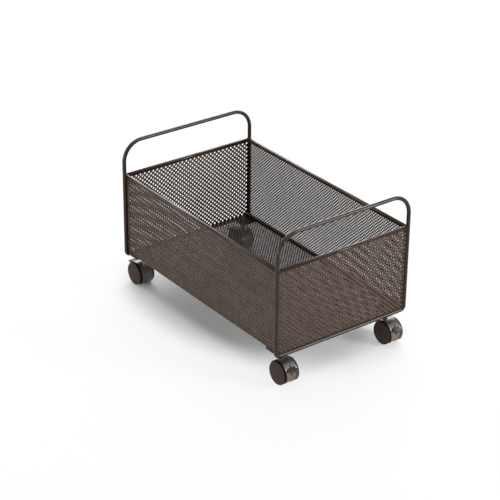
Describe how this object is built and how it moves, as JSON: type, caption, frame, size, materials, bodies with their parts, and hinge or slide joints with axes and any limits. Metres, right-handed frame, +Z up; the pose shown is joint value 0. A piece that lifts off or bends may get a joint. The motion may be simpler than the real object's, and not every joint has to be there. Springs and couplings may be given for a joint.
{
  "type": "mobile mesh basket cart",
  "caption": "Open wire-mesh basket between bent-tube end loops whose tops are handles, rolling on hooded twin-wheel swivel casters with brake levers.",
  "frame": {"origin": "on the floor, below the middle of the basket", "axes": "+X along the long side towards the front end, +Y along the short side to the right, +Z up"},
  "size_m": [0.518, 0.3, 0.3],
  "materials": {
    "coated_tube": "satin dark bronze powder coat",
    "coated_mesh": "satin dark bronze powder coat",
    "bare_steel": "plated",
    "hood_plastic": "semi-gloss dark grey",
    "wheel_plastic": "matte dark brown"
  },
  "bodies": {
    "frame": {"front_end_loop": "coated_tube", "front_crossbar": "coated_tube", "front_mesh": "coated_mesh", "back_end_loop": "coated_tube", "back_crossbar": "coated_tube", "back_mesh": "coated_mesh", "left_top_rail": "coated_tube", "left_bottom_rail": "coated_tube", "left_mesh": "coated_mesh", "right_top_rail": "coated_tube", "right_bottom_rail": "coated_tube", "right_mesh": "coated_mesh", "floor_mesh": "coated_mesh", "front_left_plate": "coated_tube", "front_left_nut": "bare_steel", "front_left_stem": "bare_steel", "front_right_plate": "coated_tube", "front_right_nut": "bare_steel", "front_right_stem": "bare_steel", "back_left_plate": "coated_tube", "back_left_nut": "bare_steel", "back_left_stem": "bare_steel", "back_right_plate": "coated_tube", "back_right_nut": "bare_steel", "back_right_stem": "bare_steel"},
    "front_left_swivel": {"front_left_hood": "hood_plastic", "front_left_axle": "bare_steel", "front_left_lever_pin": "bare_steel"},
    "front_left_outer_wheel_body": {"front_left_outer_wheel": "wheel_plastic"},
    "front_left_inner_wheel_body": {"front_left_inner_wheel": "wheel_plastic"},
    "front_left_lever_body": {"front_left_lever": "hood_plastic"},
    "front_right_swivel": {"front_right_hood": "hood_plastic", "front_right_axle": "bare_steel", "front_right_lever_pin": "bare_steel"},
    "front_right_outer_wheel_body": {"front_right_outer_wheel": "wheel_plastic"},
    "front_right_inner_wheel_body": {"front_right_inner_wheel": "wheel_plastic"},
    "front_right_lever_body": {"front_right_lever": "hood_plastic"},
    "back_left_swivel": {"back_left_hood": "hood_plastic", "back_left_axle": "bare_steel", "back_left_lever_pin": "bare_steel"},
    "back_left_outer_wheel_body": {"back_left_outer_wheel": "wheel_plastic"},
    "back_left_inner_wheel_body": {"back_left_inner_wheel": "wheel_plastic"},
    "back_left_lever_body": {"back_left_lever": "hood_plastic"},
    "back_right_swivel": {"back_right_hood": "hood_plastic", "back_right_axle": "bare_steel", "back_right_lever_pin": "bare_steel"},
    "back_right_outer_wheel_body": {"back_right_outer_wheel": "wheel_plastic"},
    "back_right_inner_wheel_body": {"back_right_inner_wheel": "wheel_plastic"},
    "back_right_lever_body": {"back_right_lever": "hood_plastic"}
  },
  "joints": [
    {"name": "front_left_swivel_turn", "type": "hinge", "parent": "frame", "child": "front_left_swivel", "pos_m": [0.216, -0.12, 0.05], "axis": [0, 0, 1], "continuous": true},
    {"name": "front_left_outer_wheel_spin", "type": "hinge", "parent": "front_left_swivel", "child": "front_left_outer_wheel_body", "pos_m": [0.227, -0.12, 0.022], "axis": [0, 1, 0], "continuous": true},
    {"name": "front_left_inner_wheel_spin", "type": "hinge", "parent": "front_left_swivel", "child": "front_left_inner_wheel_body", "pos_m": [0.227, -0.12, 0.022], "axis": [0, 1, 0], "continuous": true},
    {"name": "front_left_brake", "type": "hinge", "parent": "front_left_swivel", "child": "front_left_lever_body", "pos_m": [0.23, -0.12, 0.032], "axis": [0, 1, 0], "range_deg": [0, 12]},
    {"name": "front_right_swivel_turn", "type": "hinge", "parent": "frame", "child": "front_right_swivel", "pos_m": [0.216, 0.12, 0.05], "axis": [0, 0, 1], "continuous": true},
    {"name": "front_right_outer_wheel_spin", "type": "hinge", "parent": "front_right_swivel", "child": "front_right_outer_wheel_body", "pos_m": [0.227, 0.12, 0.022], "axis": [0, 1, 0], "continuous": true},
    {"name": "front_right_inner_wheel_spin", "type": "hinge", "parent": "front_right_swivel", "child": "front_right_inner_wheel_body", "pos_m": [0.227, 0.12, 0.022], "axis": [0, 1, 0], "continuous": true},
    {"name": "front_right_brake", "type": "hinge", "parent": "front_right_swivel", "child": "front_right_lever_body", "pos_m": [0.23, 0.12, 0.032], "axis": [0, 1, 0], "range_deg": [0, 12]},
    {"name": "back_left_swivel_turn", "type": "hinge", "parent": "frame", "child": "back_left_swivel", "pos_m": [-0.216, -0.12, 0.05], "axis": [0, 0, 1], "continuous": true},
    {"name": "back_left_outer_wheel_spin", "type": "hinge", "parent": "back_left_swivel", "child": "back_left_outer_wheel_body", "pos_m": [-0.227, -0.12, 0.022], "axis": [0, 1, 0], "continuous": true},
    {"name": "back_left_inner_wheel_spin", "type": "hinge", "parent": "back_left_swivel", "child": "back_left_inner_wheel_body", "pos_m": [-0.227, -0.12, 0.022], "axis": [0, 1, 0], "continuous": true},
    {"name": "back_left_brake", "type": "hinge", "parent": "back_left_swivel", "child": "back_left_lever_body", "pos_m": [-0.23, -0.12, 0.032], "axis": [0, -1, 0], "range_deg": [0, 12]},
    {"name": "back_right_swivel_turn", "type": "hinge", "parent": "frame", "child": "back_right_swivel", "pos_m": [-0.216, 0.12, 0.05], "axis": [0, 0, 1], "continuous": true},
    {"name": "back_right_outer_wheel_spin", "type": "hinge", "parent": "back_right_swivel", "child": "back_right_outer_wheel_body", "pos_m": [-0.227, 0.12, 0.022], "axis": [0, 1, 0], "continuous": true},
    {"name": "back_right_inner_wheel_spin", "type": "hinge", "parent": "back_right_swivel", "child": "back_right_inner_wheel_body", "pos_m": [-0.227, 0.12, 0.022], "axis": [0, 1, 0], "continuous": true},
    {"name": "back_right_brake", "type": "hinge", "parent": "back_right_swivel", "child": "back_right_lever_body", "pos_m": [-0.23, 0.12, 0.032], "axis": [0, -1, 0], "range_deg": [0, 12]}
  ]
}
